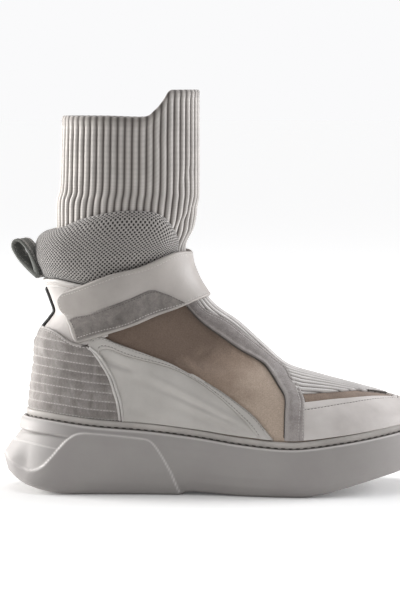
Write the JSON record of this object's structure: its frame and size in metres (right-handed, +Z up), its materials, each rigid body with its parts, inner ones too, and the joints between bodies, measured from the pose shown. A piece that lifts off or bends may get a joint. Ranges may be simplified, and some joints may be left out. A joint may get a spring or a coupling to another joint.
{
  "type": "sneaker boot",
  "caption": "Right-foot sneaker boot with a thick tiered cup sole, layered leather and suede upper, padded ankle collar, wide closing strap, pull loop and tall ribbed knit shaft.",
  "frame": {"origin": "On the floor, under the middle of the heel.", "axes": "+X to the toe, +Y to the inner side of the foot, +Z up. It is a right shoe."},
  "size_m": [0.3098, 0.1114, 0.2856],
  "materials": {
    "sole_rubber": "matte moulded rubber",
    "light_leather": "smooth leather with a soft sheen",
    "brown_nubuck": "nubuck",
    "grey_suede": "suede",
    "rib_knit": "ribbed knit",
    "spacer_mesh": "spacer mesh over foam",
    "webbing": "woven webbing",
    "footbed": "textile over foam"
  },
  "bodies": {
    "root": {"sole": "sole_rubber", "rand": "light_leather", "insole": "footbed", "upper": "brown_nubuck", "heel_counter": "grey_suede", "quarter_outer": "light_leather", "quarter_inner": "light_leather", "side_band_outer": "grey_suede", "side_band_inner": "grey_suede", "toe_guard": "light_leather", "vamp_insert": "rib_knit", "heel_saddle": "light_leather", "ankle_collar": "spacer_mesh", "knit_shaft": "rib_knit", "strap": "light_leather", "strap_patch": "grey_suede", "pull_loop": "webbing"}
  },
  "joints": []
}
